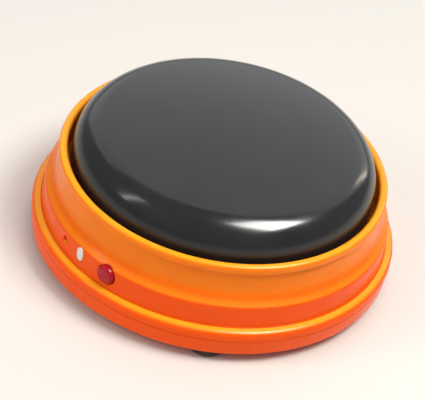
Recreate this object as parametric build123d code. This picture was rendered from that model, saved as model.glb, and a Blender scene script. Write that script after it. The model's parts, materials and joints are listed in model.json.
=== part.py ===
from build123d import *
import os
from math import atan2, cos, pi, radians, sin, sqrt

# Recordable quiz buzzer: a sprung press dome in a round stepped housing, with a record button,
# a light window and a microphone hole in the housing's upright band.
# Millimetres. +Z is up, the origin is on the surface that the feet rest on, on the dome's axis,
# and the front is towards -Y.

# ---- Driving dimensions: heights above the surface ----
TRAY_Z = 2.4          # underside of the base tray: what the feet stand proud
FLOOR_Z = 4.6         # inside floor of the tray
PARTING_Z = 7.8       # joint line between tray and upper housing
LEDGE_Z = 10.5        # ledge above the joint line
STEP_Z = 15.9         # top of the upright control band
WELL_Z = 17.4         # floor of the groove that the dome's skirt runs in
DECK_Z = 21.4         # top of the deck under the dome
LIP_Z = 25.1          # top of the rounded lip
APEX_Z = 35.6         # top of the dome
CONTROL_Z = 13.0      # height of the record button and the light
MIC_Z = 12.8          # height of the microphone hole, a little lower

# ---- Driving dimensions: radii ----
BASE_RADIUS = 44.5    # the housing's widest, 89 mm across
BAND_RADIUS = 42.1
NECK_RADIUS = 39.05
LIP_RADIUS = 39.9
WELL_RADIUS = 37.7    # mouth of the lip
DOME_RADIUS = 36.7
CAP_RADIUS = 170.0    # crown of the dome's top
SHOULDER_RADIUS = 8.0

# ---- Driving dimensions: walls and travel ----
DOME_WALL = 2.0
DECK_WALL = 1.6
DOME_TRAVEL = 3.0
SWITCH_TRAVEL = 0.3   # the main switch's stem, over the dome's whole travel
RECORD_TRAVEL = 0.6   # the record button's, to its switch's stop
SKIRT_Z = 20.8        # lower edge of the dome's skirt
FIT_GAP = 0.05        # radial clearance of a screw in its hole

# ---- Directions around the axis, in degrees from +X ----
BUTTON_ANGLE = -127.0
LIGHT_ANGLE = -139.0
MIC_ANGLE = -147.5
ARM_ANGLES = (90.0, 210.0, 330.0)
SPRING_ANGLES = (30.0, 150.0, 270.0)
SCREW_ANGLES = (60.0, 120.0, 250.0, 290.0)
FOOT_ANGLES = {"front": -90.0, "right": 0.0, "back": 90.0, "left": 180.0}

# ---- Places of the inner pieces ----
ARM_SCREW_RADIUS = 18.0
SPRING_CIRCLE = 18.0
HOUSING_SCREW_CIRCLE = 36.8
FOOT_CIRCLE = 38.8
FOOT_RADIUS = 4.2
BOARD_Z = 17.6        # underside of the main board
BOARD_TOP = 18.8
BOARD_HALF = (20.0, 15.0)
MAIN_STEM_TOP = 23.4  # top of the main switch's stem
BOARD_SCREWS = ((16.5, 11.5), (-16.5, 11.5), (-16.5, -11.5), (16.5, -11.5))
PLATE_Z = 27.0        # underside of the plunger spider's plate
PLATE_TOP = 28.6
SPRING_TOP = 30.2
SPEAKER_Y = -17.5
SPEAKER_RADIUS = 14.0
CLAMP_EAR_RADIUS = 17.0
CLAMP_ANGLES = (30.0, 150.0, 270.0)
RECORD_BOARD_X = 32.0  # inner face of the record board, measured along the button's direction
RECORD_BOARD_FACE = 33.2
RECORD_STEM = (36.45, 37.6)  # back and front of the record switch's stem

# ---- Battery bay: two AAA cells side by side, along X ----
CELL_RADIUS = 5.2
CELL_LENGTH = 44.5
CELL_Z = 9.35
CELL_YS = (6.75, 17.65)
BAY_HALF_X = 25.0
BAY_Y = (1.2, 23.2)
BAY_WALL = 1.3
BAY_ROOF = (14.75, 16.0)
CONTACT_THICK = 0.4
DOOR_THICK = 1.6
DOOR_GAP = 0.3
DOOR_LEDGE = 0.6
DOOR_SCREW = (29.5, 12.2)
TONGUE_RADIUS = 4.2

ON_BASE = (Align.CENTER, Align.CENTER, Align.MIN)


# ---- Helpers ----
def post(radius, low, high, x=0.0, y=0.0):
    """An upright cylinder between two heights."""
    return Pos(x, y, low) * Cylinder(radius, high - low, align=ON_BASE)


def rod(radius, x_low, x_high, y=0.0, z=0.0):
    """A cylinder along X."""
    return Pos(x_low, y, z) * Rot(0, 90, 0) * Cylinder(radius, x_high - x_low, align=ON_BASE)


def block(xs, ys, zs):
    """A box between pairs of coordinates."""
    centre = Pos((xs[0] + xs[1]) / 2, (ys[0] + ys[1]) / 2, (zs[0] + zs[1]) / 2)
    return centre * Box(xs[1] - xs[0], ys[1] - ys[0], zs[1] - zs[0])


def turned(outline):
    """A solid of revolution about Z from (radius, height, corner radius) points."""
    points = [(r, z) for r, z, _ in outline]
    corners = [corner for _, _, corner in outline]
    section = make_face(FilletPolyline(*points, radius=corners, close=True))
    return revolve(Plane.XZ * section, Axis.Z)


def around(circle, angle):
    """The X and Y of a place on a circle about the axis."""
    return circle * cos(radians(angle)), circle * sin(radians(angle))


def facing(angle, shape):
    """Turn a shape that was modelled facing +X to face a direction."""
    return Rot(0, 0, angle) * shape


def screw(head_radius, head_z, shank_radius, tip_z, x=0.0, y=0.0, seat_z=None):
    """A pan-head screw that points up: its head is below seat_z, with a cross recess."""
    head = post(head_radius, head_z, seat_z, x, y)
    head = fillet(head.edges().sort_by(Axis.Z)[0], min(0.5, 0.3 * head_radius))
    shank = post(shank_radius, seat_z, tip_z, x, y)
    depth = 0.6 * (seat_z - head_z)
    reach = 0.62 * head_radius
    cross = block((x - reach, x + reach), (y - 0.3, y + 0.3), (head_z - 0.1, head_z + depth))
    cross += block((x - 0.3, x + 0.3), (y - reach, y + reach), (head_z - 0.1, head_z + depth))
    return head - cross + shank


def coil(radius, wire, low, high, turns, x=0.0, y=0.0):
    """An upright helical spring between two heights."""
    height = high - low - 2 * wire
    path = Helix(height / turns, height, radius, center=(x, y, low + wire))
    ring = Plane(origin=path @ 0, z_dir=path % 0) * Circle(wire)
    return sweep(ring, path=path, is_frenet=True)


def wire_along(points, bends, radius=0.45):
    """An insulated wire along straight runs joined by arcs."""
    path = FilletPolyline(*points, radius=bends)
    ring = Plane(origin=path @ 0, z_dir=path % 0) * Circle(radius)
    return sweep(ring, path=path)


def group(shapes):
    return Compound(children=list(shapes))


# ---- The dome and what is fixed to it ----
def dome_curve(offset):
    """Points of the dome's section, set in by an offset: apex, crown middle, shoulder start,
    shoulder middle and skirt top."""
    centre_z = APEX_Z - CAP_RADIUS
    shoulder_r = DOME_RADIUS - SHOULDER_RADIUS
    reach = CAP_RADIUS - SHOULDER_RADIUS
    shoulder_z = centre_z + sqrt(reach**2 - shoulder_r**2)
    lean = atan2(shoulder_r, shoulder_z - centre_z)
    crown = CAP_RADIUS - offset
    corner = SHOULDER_RADIUS - offset
    middle = (lean + pi / 2) / 2
    return (
        (0.0, centre_z + crown),
        (crown * sin(lean / 2), centre_z + crown * cos(lean / 2)),
        (crown * sin(lean), centre_z + crown * cos(lean)),
        (shoulder_r + corner * sin(middle), shoulder_z + corner * cos(middle)),
        (DOME_RADIUS - offset, shoulder_z),
    )


def button_dome():
    outer = dome_curve(0.0)
    inner = dome_curve(DOME_WALL)
    rim_out = (DOME_RADIUS, SKIRT_Z)
    rim_in = (DOME_RADIUS - DOME_WALL, SKIRT_Z)
    edges = [
        ThreePointArc(*outer[0:3]),
        ThreePointArc(*outer[2:5]),
        Line(outer[4], rim_out),
        Line(rim_out, rim_in),
        Line(rim_in, inner[4]),
        ThreePointArc(inner[4], inner[3], inner[2]),
        ThreePointArc(inner[2], inner[1], inner[0]),
        Line(inner[0], outer[0]),
    ]
    dome = revolve(Plane.XZ * make_face(edges), Axis.Z)
    shell_z = APEX_Z - DOME_WALL
    for angle in ARM_ANGLES:
        x, y = around(ARM_SCREW_RADIUS, angle)
        dome += post(3.0, PLATE_TOP, shell_z, x, y)
        dome -= post(1.05 + FIT_GAP, PLATE_TOP, 31.6, x, y)
    for angle in SPRING_ANGLES:
        x, y = around(SPRING_CIRCLE, angle)
        dome += post(3.8, SPRING_TOP, shell_z - 0.4, x, y)
        dome += post(2.3, SPRING_TOP - 1.5, SPRING_TOP, x, y)
    return dome


def plunger_spider():
    """Three-armed plate with hooked guide legs; its centre boss works the main switch."""
    plate = post(7.0, PLATE_Z, PLATE_TOP)
    plate += post(3.0, MAIN_STEM_TOP + DOME_TRAVEL - SWITCH_TRAVEL + 0.01, PLATE_Z)
    leg_in, leg_out, hook_out = 27.6, 29.2, 30.7
    hook_top = DECK_Z - DECK_WALL - 0.05
    hook = Plane.XZ * make_face(Polyline(
        (leg_in, hook_top - 2.4),
        (leg_out, hook_top - 2.4),
        (hook_out, hook_top - 0.9),
        (hook_out, hook_top),
        (leg_in, hook_top),
        close=True,
    ))
    for angle in ARM_ANGLES:
        arm = block((0, leg_out), (-4, 4), (PLATE_Z, PLATE_TOP))
        arm += block((leg_in, leg_out), (-3, 3), (hook_top, PLATE_Z))
        arm += extrude(hook, 3, both=True)
        arm += block((24.0, leg_in), (-0.8, 0.8), (PLATE_Z - 2.0, PLATE_Z))
        plate += facing(angle, arm)
        plate -= post(1.3, PLATE_Z, PLATE_TOP, *around(ARM_SCREW_RADIUS, angle))
    return plate


def spider_screws():
    places = [around(ARM_SCREW_RADIUS, angle) for angle in ARM_ANGLES]
    return group(screw(2.4, 25.5, 1.05, 31.0, x, y, PLATE_Z) for x, y in places)


def return_spring(angle):
    x, y = around(SPRING_CIRCLE, angle)
    return coil(3.0, 0.3, DECK_Z, SPRING_TOP, 4.5, x, y)


# ---- The housing ----
def upper_housing():
    inner_band = 40.3
    body = turned([
        (BASE_RADIUS, PARTING_Z, 0.25),
        (BASE_RADIUS, LEDGE_Z - 0.35, 1.5),
        (BAND_RADIUS + 0.25, LEDGE_Z, 0.45),
        (BAND_RADIUS - 0.1, STEP_Z, 1.0),
        (NECK_RADIUS + 0.65, 17.9, 5.0),
        (NECK_RADIUS, LIP_Z - 2.5, 0.5),
        (LIP_RADIUS, LIP_Z - 1.9, 0.5),
        (LIP_RADIUS, LIP_Z, 1.05),
        (WELL_RADIUS, LIP_Z, 1.0),
        (WELL_RADIUS, LIP_Z - 2.3, 0.0),
        (WELL_RADIUS + 0.9, WELL_Z, 0.5),
        (32.9, WELL_Z, 0.5),
        (32.9, DECK_Z, 0.6),
        (0.0, DECK_Z, 0.0),
        (0.0, DECK_Z - DECK_WALL, 0.0),
        (31.3, DECK_Z - DECK_WALL, 0.4),
        (31.3, WELL_Z - 1.4, 0.0),
        (inner_band - 0.2, WELL_Z - 1.4, 0.4),
        (inner_band, 9.5, 0.0),
        (42.6, 9.5, 0.0),
        (42.6, PARTING_Z, 0.0),
    ])
    body -= post(9.2, DECK_Z - DECK_WALL, DECK_Z)
    for angle in ARM_ANGLES:
        body -= facing(angle, block((27.2, 29.55), (-3.4, 3.4), (DECK_Z - DECK_WALL, DECK_Z)))
    for angle in SPRING_ANGLES:
        body += post(2.3, DECK_Z, DECK_Z + 1.5, *around(SPRING_CIRCLE, angle))
    for x, y in BOARD_SCREWS:
        body += post(2.4, BOARD_TOP, DECK_Z - DECK_WALL, x, y)
        body -= post(0.85 + FIT_GAP, BOARD_TOP, 21.0, x, y)
    for angle in SCREW_ANGLES:
        x, y = around(HOUSING_SCREW_CIRCLE, angle)
        body += post(3.2, 6.7, WELL_Z - 1.4, x, y)
        body -= post(1.25 + FIT_GAP, 6.7, 14.0, x, y)
    body -= facing(BUTTON_ANGLE, rod(2.4, 38, BASE_RADIUS, z=CONTROL_Z))
    body -= facing(LIGHT_ANGLE, Pos(38, 0, CONTROL_Z) * pill(1.15, 3.7, 6))
    body -= facing(MIC_ANGLE, rod(0.75, 38, BASE_RADIUS, z=MIC_Z))
    return body


def pill(radius, height, length):
    """An upright oblong that runs along +X."""
    section = Plane.YZ * SlotOverall(height, 2 * radius, rotation=90)
    return extrude(section, length)


def base_tray():
    body = turned([
        (0.0, TRAY_Z, 0.0),
        (BASE_RADIUS - 0.4, TRAY_Z, 0.9),
        (BASE_RADIUS, PARTING_Z, 0.25),
        (42.4, PARTING_Z, 0.0),
        (42.4, 9.3, 0.2),
        (41.0, 9.3, 0.2),
        (41.0, FLOOR_Z, 0.6),
        (0.0, FLOOR_Z, 0.0),
    ])
    for angle in SCREW_ANGLES:
        x, y = around(HOUSING_SCREW_CIRCLE, angle)
        body += post(4.1, TRAY_Z + 0.5, 6.6, x, y)
        body -= post(2.9, TRAY_Z, 4.8, x, y)
        body -= post(1.6, TRAY_Z, 6.6, x, y)
    for angle in FOOT_ANGLES.values():
        body -= post(FOOT_RADIUS + 0.15, TRAY_Z, TRAY_Z + 0.7, *around(FOOT_CIRCLE, angle))
    body -= speaker_grille()
    for angle in CLAMP_ANGLES:
        x, y = around(CLAMP_EAR_RADIUS, angle)
        body += post(2.2, FLOOR_Z, 6.0, x, y + SPEAKER_Y)
        body -= post(0.85 + FIT_GAP, 3.4, 6.0, x, y + SPEAKER_Y)
    body = with_battery_bay(body)
    return body + record_board_rails()


def speaker_grille():
    """Round holes in three rings about one in the middle."""
    pitch, hole = 3.0, 0.95
    holes = [post(hole, TRAY_Z, FLOOR_Z, 0, SPEAKER_Y)]
    for ring in (1, 2, 3):
        for step in range(6 * ring):
            x, y = around(ring * pitch, step * 60.0 / ring)
            holes.append(post(hole, TRAY_Z, FLOOR_Z, x, y + SPEAKER_Y))
    return holes


def with_battery_bay(body):
    """Add the bay's box over the floor, its door opening, and the door screw's boss."""
    x, y = DOOR_SCREW
    wide = BAY_HALF_X + BAY_WALL
    deep = (BAY_Y[0] - BAY_WALL, BAY_Y[1] + BAY_WALL)
    body += block((-wide, wide), deep, (FLOOR_Z - 1.0, BAY_ROOF[1]))
    body += post(TONGUE_RADIUS + 1.7, FLOOR_Z - 1.0, 6.4, x, y)
    body += post(3.0, 6.4, 11.5, x, y)
    body -= block((-BAY_HALF_X, BAY_HALF_X), BAY_Y, (TRAY_Z, BAY_ROOF[0]))
    mouth = BAY_HALF_X + DOOR_LEDGE
    mouth_y = (BAY_Y[0] - DOOR_LEDGE, BAY_Y[1] + DOOR_LEDGE)
    body -= block((-mouth, mouth), mouth_y, (TRAY_Z, TRAY_Z + DOOR_THICK + 0.05))
    slot = TONGUE_RADIUS + 0.25
    body -= block((BAY_HALF_X, x), (y - slot, y + slot), (TRAY_Z, TRAY_Z + DOOR_THICK + 0.05))
    body -= post(slot, TRAY_Z, TRAY_Z + DOOR_THICK + 0.05, x, y)
    body -= post(slot, TRAY_Z, 5.1, x, y) - block((x - 9, wide), (y - 9, y + 9), (0, 9))
    body -= post(1.25 + FIT_GAP, 5.0, 10.8, x, y)
    for cell_y in CELL_YS:
        body -= block((24.3, BAY_HALF_X), (cell_y - 1.5, cell_y + 1.5), (14.0, BAY_ROOF[1]))
    return body


def record_board_rails():
    """Two slotted posts that hold the record board's ends."""
    rails = []
    for y in (-11.0, 5.0):
        rail = block((RECORD_BOARD_X - 1.1, RECORD_BOARD_FACE + 1.1), (y - 1, y + 1), (4.4, 9.5))
        slot = block(
            (RECORD_BOARD_X - 0.05, RECORD_BOARD_FACE + 0.05), (y - 3, y + 3), (6.2, 10.0)
        )
        rails.append(facing(BUTTON_ANGLE, rail - slot))
    return rails


def housing_screws():
    places = [around(HOUSING_SCREW_CIRCLE, angle) for angle in SCREW_ANGLES]
    return group(screw(2.6, 3.0, 1.25, 13.2, x, y, 4.8) for x, y in places)


def foot(angle):
    x, y = around(FOOT_CIRCLE, angle)
    pad = post(FOOT_RADIUS, 0.0, TRAY_Z + 0.7, x, y)
    return fillet(pad.edges().sort_by(Axis.Z)[0], 0.8)


# ---- Batteries, contacts and door ----
def battery(index):
    """A cell; the first has its raised end at +X and the second at -X."""
    nub = 1.1
    start = -BAY_HALF_X + CONTACT_THICK + 3.4
    can = rod(CELL_RADIUS, start, start + CELL_LENGTH - nub)
    can = fillet(can.edges().filter_by(GeomType.CIRCLE), 0.5)
    can += rod(1.9, start + CELL_LENGTH - nub, start + CELL_LENGTH)
    turn = 0 if index == 0 else 180
    return Pos(0, CELL_YS[index], CELL_Z) * Rot(0, 0, turn) * can


def contact_leaf(y_low, y_high):
    wall = -BAY_HALF_X
    return block((wall, wall + CONTACT_THICK), (y_low, y_high), (5.2, 13.6))


def contact_coil(y):
    """The spring part of a contact, which stands out from the leaf at the -X end."""
    spring = coil(3.1, 0.3, 0.0, 3.35, 2.5)
    leaf = -BAY_HALF_X + CONTACT_THICK
    return Pos(leaf, y, CELL_Z) * Rot(0, 90, 0) * spring


def contact_bump(y):
    leaf = -BAY_HALF_X + CONTACT_THICK
    return rod(1.8, leaf - 0.05, leaf + 1.28, y, CELL_Z)


def contact_tag(y):
    wall = -BAY_HALF_X
    return block((wall, wall + CONTACT_THICK), (y - 1.2, y + 1.2), (13.6, 16.9))


def contact_bridge():
    """Joins the first cell's flat end to the second cell's raised end."""
    leaf = contact_leaf(2.2, 22.2) + contact_bump(CELL_YS[1])
    return group([leaf, contact_coil(CELL_YS[0])])


def contact_negative():
    y = -CELL_YS[1]
    leaf = contact_leaf(y - 4.5, y + 4.5) + contact_tag(y)
    return Rot(0, 0, 180) * group([leaf, contact_coil(y)])


def contact_positive():
    y = -CELL_YS[0]
    leaf = contact_leaf(y - 4.5, y + 4.5) + contact_tag(y) + contact_bump(y)
    return Rot(0, 0, 180) * leaf


def battery_door():
    x, y = DOOR_SCREW
    reach = BAY_HALF_X + DOOR_LEDGE - DOOR_GAP
    sides = (BAY_Y[0] - DOOR_LEDGE + DOOR_GAP, BAY_Y[1] + DOOR_LEDGE - DOOR_GAP)
    top = TRAY_Z + DOOR_THICK
    door = block((-reach, reach), sides, (TRAY_Z, top))
    door = fillet(door.edges().filter_by(Axis.Z), 0.8)
    door += block((reach - 2, x), (y - TONGUE_RADIUS, y + TONGUE_RADIUS), (TRAY_Z, top))
    door += post(TONGUE_RADIUS, TRAY_Z, top, x, y)
    limit = BAY_HALF_X + BAY_WALL + DOOR_GAP
    door += post(TONGUE_RADIUS, top, 5.0, x, y) - block((x - 9, limit), (y - 9, y + 9), (0, 9))
    door -= post(2.9, TRAY_Z, 3.9, x, y)
    door -= post(1.4, TRAY_Z, 5.0, x, y)
    for tongue_x in (-14.0, 14.0):
        span = (tongue_x - 3, tongue_x + 3)
        door += block(span, (BAY_Y[0] + 0.25, BAY_Y[0] + 1.1), (top, 6.0))
        door += block(span, (BAY_Y[1] - 1.1, BAY_Y[1] - 0.25), (top, 6.0))
    for step in range(4):
        grip_x = -20.0 + 2.2 * step
        door -= block((grip_x - 0.5, grip_x + 0.5), (y - 6, y + 6), (TRAY_Z, TRAY_Z + 0.5))
    return door


def door_screw():
    return screw(2.6, 2.6, 1.25, 10.0, *DOOR_SCREW, 3.9)


# ---- Main board under the deck ----
def main_board():
    xs = (-BOARD_HALF[0], BOARD_HALF[0])
    ys = (-BOARD_HALF[1], BOARD_HALF[1])
    board = block(xs, ys, (BOARD_Z, BOARD_TOP))
    board = fillet(board.edges().filter_by(Axis.Z), 1.5)
    for x, y in BOARD_SCREWS:
        board -= post(1.1, BOARD_Z, BOARD_TOP, x, y)
    return board


def board_screws():
    return group(screw(1.9, 16.5, 0.85, 20.8, x, y, BOARD_Z) for x, y in BOARD_SCREWS)


def main_switch():
    body = block((-6, 6), (-6, 6), (BOARD_TOP, 22.6))
    body = fillet(body.edges().filter_by(Axis.Z), 0.6)
    return body - post(3.6, 21.7, 22.6)


def main_switch_stem():
    return post(3.5, 22.05, MAIN_STEM_TOP)


def sound_chip():
    blob = post(4.5, BOARD_Z - 0.85, BOARD_Z, -6.5, -6.0)
    return fillet(blob.edges().sort_by(Axis.Z)[0], 0.7)


def filter_capacitor():
    return fillet(rod(2.45, 7.5, 17.0, -7.0, 15.1).edges(), 0.4)


# ---- Record controls, modelled facing +X along the button's direction ----
def record_board():
    board = block((RECORD_BOARD_X, RECORD_BOARD_FACE), (-11.0, 5.0), (6.3, 15.3))
    return facing(BUTTON_ANGLE, board)


def record_switch():
    body = block((RECORD_BOARD_FACE, 36.7), (-3, 3), (CONTROL_Z - 3, CONTROL_Z + 2.3))
    stop = RECORD_STEM[0] - RECORD_TRAVEL - 0.15
    return facing(BUTTON_ANGLE, body - rod(1.9, stop, 36.7, z=CONTROL_Z))


def record_switch_stem():
    return facing(BUTTON_ANGLE, rod(1.8, *RECORD_STEM, z=CONTROL_Z))


def record_button():
    """A crowned round cap with a retaining flange behind the wall and a short stem."""
    cap = rod(2.3, 39.6, 43.1, z=CONTROL_Z)
    front = cap.edges().filter_by(GeomType.CIRCLE).sort_by(Axis.X)[-1]
    cap = fillet(front, 0.9)
    cap += rod(2.9, 38.9, 39.6, z=CONTROL_Z)
    cap += rod(1.5, RECORD_STEM[1], 38.9, z=CONTROL_Z)
    return facing(BUTTON_ANGLE, cap)


def record_light():
    y = -BAND_RADIUS * sin(radians(BUTTON_ANGLE - LIGHT_ANGLE))
    bulb = rod(1.5, RECORD_BOARD_FACE, 37.4, y, CONTROL_Z)
    tip = bulb.edges().filter_by(GeomType.CIRCLE).sort_by(Axis.X)[-1]
    bulb = fillet(tip, 1.2)
    bulb += rod(1.9, RECORD_BOARD_FACE, RECORD_BOARD_FACE + 1.0, y, CONTROL_Z)
    return facing(BUTTON_ANGLE, bulb)


def light_lens():
    """A moulded window: the oblong shows in the band, its flange sits behind the wall."""
    window = Pos(39.4, 0, CONTROL_Z) * pill(1.1, 3.6, BAND_RADIUS + 0.15 - 39.4)
    flange = Pos(39.1, 0, CONTROL_Z) * pill(1.8, 4.6, 0.5)
    return facing(LIGHT_ANGLE, window + flange)


def microphone():
    return facing(MIC_ANGLE, rod(2.0, 36.7, 38.9, z=MIC_Z))


def microphone_boot():
    """A rubber cup, open to the hole in the wall."""
    cup = rod(2.75, 36.3, 39.6, z=MIC_Z)
    cup -= rod(2.02, 36.7, 38.9, z=MIC_Z)
    cup -= rod(0.9, 38.9, 39.6, z=MIC_Z)
    cup -= rod(1.3, 36.3, 36.7, z=MIC_Z)
    return facing(MIC_ANGLE, cup)


# ---- Loudspeaker, facing down through the grille ----
def speaker_frame():
    frame = turned([
        (SPEAKER_RADIUS, 5.2, 0.0),
        (SPEAKER_RADIUS, 6.0, 0.0),
        (12.9, 6.0, 0.3),
        (9.4, 10.2, 0.3),
        (0.0, 10.2, 0.0),
        (0.0, 9.4, 0.0),
        (8.7, 9.4, 0.3),
        (12.3, 5.2, 0.0),
    ])
    ear = facing(60.0, block((7.0, 11.6), (-2.2, 2.2), (9.5, 10.2)))
    return Pos(0, SPEAKER_Y, 0) * (frame + ear)


def speaker_magnet():
    ring = post(7.4, 10.2, 13.8, 0, SPEAKER_Y)
    return fillet(ring.edges().filter_by(GeomType.CIRCLE), 0.4)


def speaker_cone():
    """A thin film cone with a raised middle and a rolled edge."""
    cone = turned([
        (12.0, 5.2, 0.0),
        (12.0, 5.5, 0.0),
        (10.6, 6.1, 0.3),
        (5.0, 8.2, 0.3),
        (2.5, 7.5, 0.6),
        (0.0, 7.3, 0.0),
        (0.0, 7.0, 0.0),
        (2.6, 7.2, 0.6),
        (5.0, 7.9, 0.3),
        (10.5, 5.8, 0.3),
    ])
    return Pos(0, SPEAKER_Y, 0) * cone


def speaker_gasket():
    ring = post(SPEAKER_RADIUS, FLOOR_Z, 5.2) - post(12.0, FLOOR_Z, 5.2)
    return Pos(0, SPEAKER_Y, 0) * ring


def speaker_clamp():
    ring = post(SPEAKER_RADIUS + 0.9, 6.0, 7.0)
    for angle in CLAMP_ANGLES:
        ear = block((SPEAKER_RADIUS - 0.5, CLAMP_EAR_RADIUS), (-2.4, 2.4), (6.0, 7.0))
        ring += facing(angle, ear + post(2.4, 6.0, 7.0, CLAMP_EAR_RADIUS))
    ring -= post(13.3, 6.0, 7.0)
    for angle in CLAMP_ANGLES:
        ring -= post(1.1, 6.0, 7.0, *around(CLAMP_EAR_RADIUS, angle))
    return Pos(0, SPEAKER_Y, 0) * ring


def clamp_screws():
    """The same screws as the board's, with their heads up."""
    screws = []
    for angle in CLAMP_ANGLES:
        x, y = around(CLAMP_EAR_RADIUS, angle)
        upright = screw(1.9, -1.1, 0.85, 3.4, 0, 0, 0.0)
        screws.append(Pos(x, y + SPEAKER_Y, 7.0) * Rot(180, 0, 0) * upright)
    return group(screws)


# ---- Leads held inside the housing ----
def speaker_wires():
    wires = []
    for x, y in ((4.2, -9.7), (5.9, -8.6)):
        wires.append(wire_along(
            [(x, y, 10.2), (x, y, 12.4), (x - 1.2, y - 1.4, 15.2), (x - 1.2, y - 1.4, BOARD_Z)],
            [2.2, 2.2],
        ))
    return group(wires)


def battery_wires():
    z = 16.75
    first = wire_along(
        [(24.6, CELL_YS[0], 16.5), (23.2, CELL_YS[0], 16.5), (20.9, 6.0, z), (18.4, 5.4, z),
         (18.4, 5.4, BOARD_Z)],
        [2.0, 2.0, 0.4],
        0.4,
    )
    second = wire_along(
        [(24.6, CELL_YS[1], 16.5), (23.2, CELL_YS[1], 16.5), (20.6, 12.2, z), (18.6, 8.2, z),
         (18.6, 8.2, BOARD_Z)],
        [2.0, 2.0, 0.4],
        0.4,
    )
    return group([first, second])


def record_wires():
    """Three leads from the record board's inner face to the main board's corner."""
    wires = []
    turn = facing(BUTTON_ANGLE, Location())
    for step in range(3):
        y = 1.3 * (1 - step)
        start = (turn * Pos(RECORD_BOARD_X, y, 9.0)).position
        out = (turn * Pos(RECORD_BOARD_X - 2.4, y, 9.0)).position
        rise = (-16.9 + 1.1 * step, -17.4, 14.2)
        last = (-16.6 + 1.1 * step, -14.3, 16.2)
        end = (-16.6 + 1.1 * step, -14.3, BOARD_Z)
        wires.append(wire_along([start, out, rise, last, end], [1.6, 1.6, 0.9], 0.4))
    return group(wires)


def microphone_wires():
    """Two leads from the capsule's back, round the record board's end to its inner face."""
    wires = []
    turn = facing(BUTTON_ANGLE, Location())
    for z in (MIC_Z - 0.7, MIC_Z + 0.7):
        route = [(34.35, -12.84), (32.1, -12.0), (30.4, -10.6), (30.7, -8.9), (32.0, -8.6)]
        points = [(turn * Pos(x, y, z)).position for x, y in route]
        wires.append(wire_along(points, [0.9, 0.9, 0.6], 0.3))
    return group(wires)


# ---- Write every piece ----
def main():
    pieces = {
        "button_dome": button_dome(),
        "plunger_spider": plunger_spider(),
        "spider_screws": spider_screws(),
        "upper_housing": upper_housing(),
        "base_tray": base_tray(),
        "housing_screws": housing_screws(),
        "battery_door": battery_door(),
        "door_screw": door_screw(),
        "contact_bridge": contact_bridge(),
        "contact_negative": contact_negative(),
        "contact_positive": contact_positive(),
        "main_board": main_board(),
        "board_screws": board_screws(),
        "main_switch": main_switch(),
        "main_switch_stem": main_switch_stem(),
        "sound_chip": sound_chip(),
        "filter_capacitor": filter_capacitor(),
        "record_board": record_board(),
        "record_switch": record_switch(),
        "record_switch_stem": record_switch_stem(),
        "record_button": record_button(),
        "record_light": record_light(),
        "light_lens": light_lens(),
        "microphone": microphone(),
        "microphone_boot": microphone_boot(),
        "speaker_frame": speaker_frame(),
        "speaker_magnet": speaker_magnet(),
        "speaker_cone": speaker_cone(),
        "speaker_gasket": speaker_gasket(),
        "speaker_clamp": speaker_clamp(),
        "clamp_screws": clamp_screws(),
        "speaker_wires": speaker_wires(),
        "battery_wires": battery_wires(),
        "record_wires": record_wires(),
        "microphone_wires": microphone_wires(),
    }
    for number, angle in enumerate(SPRING_ANGLES, start=1):
        pieces[f"return_spring_{number}"] = return_spring(angle)
    for side, angle in FOOT_ANGLES.items():
        pieces[f"foot_{side}"] = foot(angle)
    for index in range(len(CELL_YS)):
        pieces[f"battery_{index + 1}"] = battery(index)
    os.makedirs("parts", exist_ok=True)
    for name, shape in pieces.items():
        export_step(shape, f"parts/{name}.step")


main()
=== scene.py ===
"""Looks of a round quiz buzzer: a black press dome in a stepped orange housing."""

import json
from math import atan2, ceil, cos, pi, radians, sin, sqrt, tan

import bpy
from bpy.props import FloatProperty, FloatVectorProperty, IntProperty, PointerProperty
from mathutils import Matrix, Vector


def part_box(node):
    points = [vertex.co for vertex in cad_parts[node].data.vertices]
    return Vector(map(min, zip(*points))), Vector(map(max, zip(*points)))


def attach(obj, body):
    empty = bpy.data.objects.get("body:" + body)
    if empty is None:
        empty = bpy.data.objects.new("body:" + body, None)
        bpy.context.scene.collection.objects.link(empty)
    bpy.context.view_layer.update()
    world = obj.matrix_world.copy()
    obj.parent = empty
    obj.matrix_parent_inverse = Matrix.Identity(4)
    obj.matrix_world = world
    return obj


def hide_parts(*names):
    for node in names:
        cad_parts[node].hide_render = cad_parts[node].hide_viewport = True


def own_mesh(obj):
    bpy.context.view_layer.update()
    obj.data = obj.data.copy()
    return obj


bl_info = {
    "name": "Quiz buzzer",
    "version": (1, 0, 0),
    "blender": (4, 5, 0),
    "location": "View3D > Sidebar > Buzzer",
    "description": "Models and paints a round quiz buzzer around its fixed frame",
    "category": "Object",
}

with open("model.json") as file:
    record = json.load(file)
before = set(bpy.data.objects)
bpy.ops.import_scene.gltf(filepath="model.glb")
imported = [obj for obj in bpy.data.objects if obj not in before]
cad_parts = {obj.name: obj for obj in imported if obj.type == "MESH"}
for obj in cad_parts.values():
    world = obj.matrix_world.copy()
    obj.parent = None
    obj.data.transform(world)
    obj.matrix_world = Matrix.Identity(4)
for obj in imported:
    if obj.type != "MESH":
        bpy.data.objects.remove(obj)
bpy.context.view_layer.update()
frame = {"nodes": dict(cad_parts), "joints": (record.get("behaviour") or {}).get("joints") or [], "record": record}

MM = 0.001


# ---- Sizes read from the frame, in millimetres ----
def low(node):
    """A node's lowest corner, in millimetres."""
    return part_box(node)[0] / MM


def high(node):
    """A node's highest corner, in millimetres."""
    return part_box(node)[1] / MM


def middle(node):
    """The middle of a node's box, in millimetres."""
    return (low(node) + high(node)) / 2


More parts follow.
